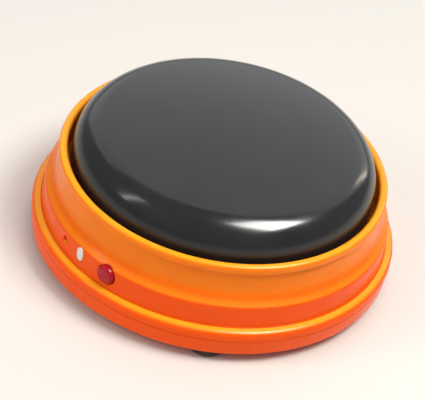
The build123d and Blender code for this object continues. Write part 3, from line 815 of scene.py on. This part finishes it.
class BUZZER_OT_housing(bpy.types.Operator):
    """Stepped upper housing: lip, neck, control band and ledge, with its deck and bosses"""

    bl_idname = "buzzer.housing"
    bl_label = "Upper housing"

    def execute(self, context):
        sizes = context.scene.buzzer_sizes
        band, neck = sizes.band_radius / MM, sizes.neck_radius / MM
        lip, mouth = sizes.lip_radius / MM, sizes.mouth_radius / MM
        ledge_z, step_z = PARTING_Z + 2.7, PARTING_Z + 8.1
        deck_low, hole = DECK_Z - 1.6, 9.2
        shell = spun("shell", [
            (BASE_RADIUS, PARTING_Z, 0.25),
            (BASE_RADIUS, ledge_z - 0.35, 1.5),
            (band + 0.25, ledge_z, 0.45),
            (band - 0.1, step_z, 1.0),
            (neck + 0.65, step_z + 2.0, 5.0),
            (neck, LIP_Z - 2.5, 0.5),
            (lip, LIP_Z - 1.9, 0.5),
            (lip, LIP_Z, 1.05),
            (mouth, LIP_Z, 1.0),
            (mouth, LIP_Z - 2.3, 0.0),
            (mouth + 0.9, WELL_Z, 0.5),
            (32.9, WELL_Z, 0.5),
            (32.9, DECK_Z, 0.6),
            (hole, DECK_Z, 0.2),
            (hole, deck_low, 0.2),
            (31.3, deck_low, 0.4),
            (31.3, WELL_Z - 1.4, 0.0),
            (40.1, WELL_Z - 1.4, 0.4),
            (40.3, 9.5, 0.0),
            (42.6, 9.5, 0.0),
            (42.6, PARTING_Z, 0.0),
        ])
        tools = [
            self.eased_hole(2.4, 0.24, BUTTON_ANGLE, CONTROL_Z),
            self.eased_hole(0.75, 0.25, MIC_ANGLE, MIC_Z),
            pill(1.15, 3.7, 38.0, 46.0, LIGHT_ANGLE, CONTROL_Z),
        ]
        tools += [block((27.2, 29.55), (-3.4, 3.4), (17, 22.5), angle) for angle in ARM_ANGLES]
        carve(shell, tools)
        housing = joined([shell, *self.posts(deck_low)])
        complete(housing, "housing", "housing", "orange_shell", ["upper_housing"])
        return {"FINISHED"}

    def posts(self, deck_low):
        """Spring posts on the deck, board posts under it and screw bosses by the wall."""
        spring_post = spun("spring_post", [
            (0.0, deck_low + 0.6, 0.0), (2.3, deck_low + 0.6, 0.0),
            (2.3, DECK_Z + 1.5, 0.3), (0.0, DECK_Z + 1.5, 0.0)], 48)
        board_post = spun("board_post", [
            (0.0, deck_low + 0.2, 0.0), (0.9, deck_low + 0.2, 0.0), (0.9, 18.8, 0.0),
            (2.4, 18.8, 0.2), (2.4, deck_low + 0.6, 0.0), (0.0, deck_low + 0.6, 0.0)], 32)
        boss = spun("boss", [
            (0.0, 14.0, 0.0), (1.3, 14.0, 0.0), (1.3, 6.7, 0.0), (3.2, 6.7, 0.2),
            (3.2, WELL_Z - 1.0, 0.0), (0.0, WELL_Z - 1.0, 0.0)], 48)
        return [
            *repeated(spring_post, [around(SPRING_CIRCLE, angle) for angle in SPRINGS]),
            *repeated(board_post, BOARD_SCREWS),
            *repeated(boss, [around(SCREW_CIRCLE, angle) for angle in SCREW_ANGLES]),
        ]

    def eased_hole(self, radius, ease, angle, z):
        """A cutter for a round hole whose mouth widens at the band's surface."""
        band = bpy.context.scene.buzzer_sizes.band_radius / MM
        cutter = spun("cutter", [
            (0.0, 38.0, 0.0),
            (radius, 38.0, 0.0),
            (radius, band - ease - 0.06, 1.2 * ease),
            (radius + ease, band + 0.02, 0.0),
            (radius + ease + 0.4, 46.0, 0.0),
            (0.0, 46.0, 0.0),
        ], 64)
        return laid(cutter, angle, z)


class BUZZER_OT_tray(bpy.types.Operator):
    """Base tray: skirt, floor with grille, battery bay and screw recesses"""

    bl_idname = "buzzer.tray"
    bl_label = "Base tray"

    def execute(self, context):
        shell = spun("shell", [
            (0.0, TRAY_Z, 0.0),
            (BASE_RADIUS - 0.4, TRAY_Z, 0.9),
            (BASE_RADIUS, PARTING_Z, 0.25),
            (42.4, PARTING_Z, 0.0),
            (42.4, 9.3, 0.2),
            (41.0, 9.3, 0.2),
            (41.0, FLOOR_Z, 0.6),
            (0.0, FLOOR_Z, 0.0),
        ])
        carve(shell, self.openings())
        tray = joined([shell, *self.bosses(), self.bay(), *self.rails()])
        complete(
            tray, "tray", "housing", "orange_shell", ["base_tray"],
            bevel=context.scene.buzzer_sizes.edge_break / MM)
        return {"FINISHED"}

    def openings(self):
        """What is cut through the floor: grille, recesses and the bay's stepped mouth."""
        tools = self.grille()
        for angle in SCREW_ANGLES:
            tools.append(post(2.95, TRAY_Z - 1, FLOOR_Z + 1, *around(SCREW_CIRCLE, angle)))
        for angle in FEET.values():
            tools.append(post(4.35, TRAY_Z - 1, TRAY_Z + 0.7, *around(FOOT_CIRCLE, angle)))
        x, y = DOOR_SCREW
        slot, top = TONGUE_RADIUS + 0.25, TRAY_Z + DOOR_THICK + 0.05
        mouth = block((-BAY_HALF_X, BAY_HALF_X), BAY_YS, (TRAY_Z - 1, FLOOR_Z + 1))
        step = BAY_HALF_X + DOOR_LEDGE
        ledge = block(
            (-step, step), (BAY_YS[0] - DOOR_LEDGE, BAY_YS[1] + DOOR_LEDGE), (TRAY_Z - 1, top))
        tongue = block((step - 1, x), (y - slot, y + slot), (TRAY_Z - 1, top))
        end = post(slot, TRAY_Z - 1, top, x, y)
        for part in (ledge, tongue, end):
            carve(mouth, [part], "UNION")
        tools.append(mouth)
        return tools

    def grille(self):
        """Round holes in three rings about one in the middle."""
        pitch, hole = 3.0, 0.95
        places = [(0.0, SPEAKER.y)]
        for ring in (1, 2, 3):
            for step in range(6 * ring):
                x, y = around(ring * pitch, step * 60.0 / ring)
                places.append((x, y + SPEAKER.y))
        return repeated(post(hole, TRAY_Z - 1, FLOOR_Z + 1, sides=24), places)

    def bosses(self):
        """Counterbored screw bosses, loudspeaker posts and the door screw's boss."""
        screw_boss = spun("screw_boss", [
            (1.6, SCREW_SEAT_Z, 0.0), (2.9, SCREW_SEAT_Z, 0.0), (2.9, TRAY_Z + 0.05, 0.0),
            (4.1, TRAY_Z + 0.6, 0.0), (4.1, 6.6, 0.2), (1.6, 6.6, 0.0)], 48)
        clamp_post = spun("clamp_post", [
            (0.0, FLOOR_Z + 0.1, 0.0), (0.9, FLOOR_Z + 0.1, 0.0), (0.9, 6.0, 0.0),
            (2.2, 6.0, 0.2), (2.2, FLOOR_Z - 0.4, 0.0), (0.0, FLOOR_Z - 0.4, 0.0)], 32)
        door_boss = spun("door_boss", [
            (0.0, 10.8, 0.0), (1.3, 10.8, 0.0), (1.3, 5.1, 0.0), (4.4, 5.1, 0.0),
            (4.4, 4.1, 0.0), (5.9, 4.1, 0.0), (5.9, 6.4, 0.3), (3.0, 6.4, 0.3),
            (3.0, 11.5, 0.3), (0.0, 11.5, 0.0)], 48)
        clamp_places = []
        for angle in CLAMP_ANGLES:
            x, y = around(CLAMP_CIRCLE, angle)
            clamp_places.append((x, y + SPEAKER.y))
        return [
            *repeated(screw_boss, [around(SCREW_CIRCLE, angle) for angle in SCREW_ANGLES]),
            *repeated(clamp_post, clamp_places),
            *repeated(door_boss, [DOOR_SCREW]),
        ]

    def bay(self):
        """The battery bay: a box open below, its walls thickened outwards."""
        box = block((-BAY_HALF_X, BAY_HALF_X), BAY_YS, (FLOOR_Z - 0.02, 14.75))
        edit_faces(box, lambda face: face.normal.z < -0.5)
        bpy.ops.mesh.delete(type="ONLY_FACE")
        bpy.ops.object.mode_set(mode="OBJECT")
        return apply_modifier(box, "SOLIDIFY", thickness=1.25 * MM, offset=1.0)

    def rails(self):
        """Two slotted posts that hold the record board's ends."""
        rails = []
        for y in (-11.0, 5.0):
            for near, far, top in ((30.9, 31.95, 9.5), (33.25, 34.3, 9.5), (31.9, 33.3, 6.2)):
                rails.append(block((near, far), (y - 1, y + 1), (4.4, top), BUTTON_ANGLE))
        return rails


class BUZZER_OT_battery_door(bpy.types.Operator):
    """Battery door with its grip grooves, tongue and locating ribs"""

    bl_idname = "buzzer.battery_door"
    bl_label = "Battery door"

    def execute(self, context):
        x, y = DOOR_SCREW
        gap, top = 0.3, TRAY_Z + DOOR_THICK
        reach = BAY_HALF_X + DOOR_LEDGE - gap
        margin = DOOR_LEDGE - gap
        door = block(
            (-reach, reach), (BAY_YS[0] - margin, BAY_YS[1] + margin), (TRAY_Z, top))
        bpy.ops.object.mode_set(mode="EDIT")
        bpy.ops.mesh.select_mode(type="EDGE")
        bpy.ops.object.mode_set(mode="OBJECT")
        for edge in door.data.edges:
            first, second = (door.data.vertices[index].co for index in edge.vertices)
            edge.select = abs(first.z - second.z) > 1.0 * MM
        bpy.ops.object.mode_set(mode="EDIT")
        bpy.ops.mesh.bevel(offset=0.8 * MM, segments=6, affect="EDGES")
        bpy.ops.object.mode_set(mode="OBJECT")
        tongue = block((reach - 2, x), (y - TONGUE_RADIUS, y + TONGUE_RADIUS), (TRAY_Z, top))
        end = post(TONGUE_RADIUS, TRAY_Z, top, x, y, 64)
        for part in (tongue, end):
            carve(door, [part], "UNION")
        collar = spun("collar", [
            (1.4, 3.6, 0.0), (4.15, 3.6, 0.0), (4.15, 5.0, 0.3), (1.4, 5.0, 0.0)], 64)
        edit_corners(collar, lambda corner: True)
        bpy.ops.mesh.bisect(
            plane_co=(-(x - BAY_HALF_X - 1.6) * MM, 0, 0), plane_no=(-1, 0, 0),
            clear_outer=True, use_fill=True)
        bpy.ops.object.mode_set(mode="OBJECT")
        collar.location = (x * MM, y * MM, 0)
        tools = [post(2.9, TRAY_Z - 1, DOOR_SEAT_Z, x, y), post(1.4, TRAY_Z, 6.0, x, y)]
        tools += [
            block((start - 0.5, start + 0.5), (y - 6, y + 6), (TRAY_Z - 1, TRAY_Z + 0.5))
            for start in (-20.0, -17.8, -15.6, -13.4)]
        carve(door, tools)
        ribs = [
            block((rib - 3, rib + 3), ys, (top - 0.1, 6.0))
            for rib in (-14.0, 14.0)
            for ys in ((BAY_YS[0] + 0.25, BAY_YS[0] + 1.1), (BAY_YS[1] - 1.1, BAY_YS[1] - 0.25))]
        door = joined([door, settle(collar), *ribs])
        complete(
            door, "battery_door_cover", "battery_door", "orange_shell", ["battery_door"],
            bevel=context.scene.buzzer_sizes.edge_break / MM)
        return {"FINISHED"}


class BUZZER_OT_controls(bpy.types.Operator):
    """Record button and light window in the control band"""

    bl_idname = "buzzer.controls"
    bl_label = "Record button and light window"

    def execute(self, context):
        band = context.scene.buzzer_sizes.band_radius / MM
        button = spun("button", [
            (0.0, 37.6, 0.0), (1.5, 37.6, 0.1), (1.5, 38.9, 0.0), (2.9, 38.9, 0.1),
            (2.9, 39.6, 0.1), (2.3, 39.6, 0.0), (2.3, band + 0.93, 0.8),
            (0.0, band + 1.0, 0.0)], 64)
        laid(button, BUTTON_ANGLE, CONTROL_Z)
        complete(button, "button", "record_button", "red_button", ["record_button"])
        window = pill(1.1, 3.6, 39.4, band + 0.15, LIGHT_ANGLE, CONTROL_Z)
        apply_modifier(
            window, "BEVEL", width=0.3 * MM, segments=4, limit_method="ANGLE",
            angle_limit=radians(60))
        flange = pill(1.8, 4.6, 39.1, 39.6, LIGHT_ANGLE, CONTROL_Z)
        window = joined([window, flange])
        complete(window, "window", "housing", "white_window", ["light_lens"])
        return {"FINISHED"}


class BUZZER_OT_feet(bpy.types.Operator):
    """Four rubber feet, each a dished pad with a rolled edge"""

    bl_idname = "buzzer.feet"
    bl_label = "Feet"

    def execute(self, context):
        radius = (high("foot_front").x - low("foot_front").x) / 2
        model = spun("foot_model", [
            (0.0, 0.25, 0.0), (2.3, 0.25, 0.3), (2.7, 0.0, 0.25), (radius, 0.0, 0.8),
            (radius, TRAY_Z - 0.4, 0.2), (radius - 0.12, TRAY_Z + 0.7, 0.1),
            (0.0, TRAY_Z + 0.7, 0.0)], 64)
        for node, angle in FEET.items():
            pad = copied(model, *around(FOOT_CIRCLE, angle), angle)
            complete(pad, node.replace("foot", "pad"), "housing", "rubber_feet", [node])
        discard(model)
        return {"FINISHED"}


class BUZZER_OT_screws(bpy.types.Operator):
    """Pan-head screws with cross recesses and rolled threads"""

    bl_idname = "buzzer.screws"
    bl_label = "Screws"

    def execute(self, context):
        model = self.screw(low("housing_screws").z, SCREW_SEAT_Z, high("housing_screws").z)
        screws = repeated(model, [around(SCREW_CIRCLE, angle) for angle in SCREW_ANGLES])
        complete(
            joined(screws), "case_screws", "housing", "screw_steel", ["housing_screws"],
            smooth=40.0)
        model = self.screw(low("door_screw").z, DOOR_SEAT_Z, high("door_screw").z)
        screws = repeated(model, [DOOR_SCREW])
        complete(
            joined(screws), "cover_screw", "battery_door", "screw_steel", ["door_screw"],
            smooth=40.0)
        return {"FINISHED"}

    def screw(self, head_z, seat_z, tip_z):
        """A screw that points up: domed head with a cross recess, core, thread and tip."""
        radius, crest_radius, core_radius, pitch = 2.6, 1.25, 0.98, 0.7
        head = spun("head", [
            (0.0, head_z, 0.0), (1.6, head_z, 0.5), (radius, head_z + 0.5, 0.35),
            (radius, seat_z, 0.1), (0.0, seat_z, 0.0)], 48)
        depth = head_z + 0.6 * (seat_z - head_z)
        for angle in (20.0, 110.0):
            cross = block((-1.5, 1.5), (-0.3, 0.3), (head_z - 1, depth), angle)
            edit_corners(cross, lambda corner: corner.z > (depth - 0.1) * MM)
            bpy.ops.transform.resize(value=(0.55, 0.55, 1.0))
            bpy.ops.object.mode_set(mode="OBJECT")
            carve(head, [cross])
        core = spun("core", [
            (0.0, seat_z - 0.3, 0.0), (core_radius, seat_z - 0.3, 0.0),
            (core_radius, tip_z - 1.2, 0.2), (0.0, tip_z, 0.0)], 24)
        root = core_radius - 0.03
        crest = [
            Vector((root, 0.0)), Vector((crest_radius, 0.4 * pitch)), Vector((root, pitch))]
        threaded = tip_z - 2.4 - seat_z
        thread = wound(drawn("thread", crest, closed=False), threaded, threaded / pitch, 24)
        thread.location = (0, 0, (seat_z + 0.1) * MM)
        return joined([head, core, settle(thread)])


class BUZZER_OT_springs(bpy.types.Operator):
    """Return springs: open coils between two closed end turns"""

    bl_idname = "buzzer.springs"
    bl_label = "Return springs"

    def execute(self, context):
        closed_rise, coil_radius = 2 * SPRING_WIRE + 0.03, 3.0
        length = SPRING_TOP - DECK_Z - 2 * SPRING_WIRE
        open_rise = length - 2 * closed_rise
        starts = (0.0, closed_rise, closed_rise + open_rise)
        turns = zip(starts, (closed_rise, open_rise, closed_rise), (1, 4, 1))
        model = joined([self.coil(coil_radius, *turn) for turn in turns])
        bpy.ops.object.mode_set(mode="EDIT")
        tidy_surface()
        travel = joint("dome_press")["range_m"][1]
        keep = 1 - travel / ((SPRING_TOP - DECK_Z) * MM)
        for angle, node in SPRINGS.items():
            x, y = around(SPRING_CIRCLE, angle)
            spring = copied(model, x, y, angle)
            complete(spring, node.replace("return", "coil"), "housing", "spring_steel", [node],
                     smooth=60.0)
            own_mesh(spring)
        discard(model)
        return {"FINISHED"}

    def coil(self, coil_radius, start, rise, count):
        """Some turns of round wire, starting at a height above the spring's first turn."""
        pick()
        bpy.ops.mesh.primitive_circle_add(
            vertices=10, radius=SPRING_WIRE * MM, rotation=(pi / 2, 0, 0),
            location=(coil_radius * MM, 0, (DECK_Z + SPRING_WIRE + start) * MM))
        return wound(settle(bpy.context.object), rise, count)


class BUZZER_OT_cells(bpy.types.Operator):
    """Two dry cells with crimped cans and raised ends"""

    bl_idname = "buzzer.cells"
    bl_label = "Cells"

    def execute(self, context):
        for node, heading in (("battery_1", 1), ("battery_2", -1)):
            near, far = (low(node), high(node)) if heading > 0 else (high(node), low(node))
            radius = (high(node).y - low(node).y) / 2
            length = abs(far.x - near.x)
            can = length - 1.1
            cell = spun("cell_model", [
                (0.0, 0.0, 0.0), (radius - 1.2, 0.0, 0.1), (radius - 0.9, 0.25, 0.1),
                (radius, 0.0, 0.45), (radius, 1.6, 0.1), (radius - 0.15, 1.8, 0.1),
                (radius, 2.0, 0.1), (radius, can - 1.4, 0.1), (radius - 0.3, can - 1.1, 0.1),
                (radius, can, 0.45), (radius - 1.1, can, 0.1), (radius - 1.3, can - 0.3, 0.1),
                (2.4, can - 0.3, 0.1), (1.9, can, 0.1), (1.9, length, 0.3),
                (0.0, length, 0.0)], 64)
            cell.rotation_euler = (0, heading * pi / 2, 0)
            cell.location = (near.x * MM, middle(node).y * MM, middle(node).z * MM)
            complete(
                settle(cell), node.replace("battery", "cell"), "housing", "cell_jacket", [node],
                material=cell_finish(node.replace("battery", "cell_sleeve"), float(heading)))
        return {"FINISHED"}


class BUZZER_OT_inner_finishes(bpy.types.Operator):
    """Finishes of the inner pieces whose shapes stay as the frame has them"""

    bl_idname = "buzzer.inner_finishes"
    bl_label = "Inner finishes"

    def execute(self, context):
        for entry in frame["record"]["subparts"]:
            mesh = frame["nodes"][entry["node"]].data
            mesh.materials.clear()
            mesh.materials.append(finish_for(entry["material_slot"]))
        return {"FINISHED"}


class BUZZER_PT_panel(bpy.types.Panel):
    """Sizes, colours and the pieces in the order they are made"""

    bl_idname = "BUZZER_PT_panel"
    bl_label = "Quiz buzzer"
    bl_space_type = "VIEW_3D"
    bl_region_type = "UI"
    bl_category = "Buzzer"

    def draw(self, context):
        for settings in (context.scene.buzzer_sizes, context.scene.buzzer_colours):
            column = self.layout.column(align=True)
            for name in settings.__annotations__:
                column.prop(settings, name)
        column = self.layout.column()
        for operator in OPERATORS:
            column.operator(operator.bl_idname)


OPERATORS = (
    BUZZER_OT_stage, BUZZER_OT_dome, BUZZER_OT_housing, BUZZER_OT_tray, BUZZER_OT_battery_door,
    BUZZER_OT_controls, BUZZER_OT_feet, BUZZER_OT_screws, BUZZER_OT_springs, BUZZER_OT_cells,
    BUZZER_OT_inner_finishes,
)
CLASSES = (BuzzerSizes, BuzzerColours, *OPERATORS, BUZZER_PT_panel)


def register():
    for entry in CLASSES:
        bpy.utils.register_class(entry)
    bpy.types.Scene.buzzer_sizes = PointerProperty(type=BuzzerSizes)
    bpy.types.Scene.buzzer_colours = PointerProperty(type=BuzzerColours)


def unregister():
    del bpy.types.Scene.buzzer_sizes
    del bpy.types.Scene.buzzer_colours
    for entry in reversed(CLASSES):
        bpy.utils.unregister_class(entry)


def main():
    register()
    bpy.ops.buzzer.stage()
    bpy.ops.buzzer.dome()
    bpy.ops.buzzer.housing()
    bpy.ops.buzzer.tray()
    bpy.ops.buzzer.battery_door()
    bpy.ops.buzzer.controls()
    bpy.ops.buzzer.feet()
    bpy.ops.buzzer.screws()
    bpy.ops.buzzer.springs()
    bpy.ops.buzzer.cells()
    bpy.ops.buzzer.inner_finishes()


if __name__ == "__main__":
    main()
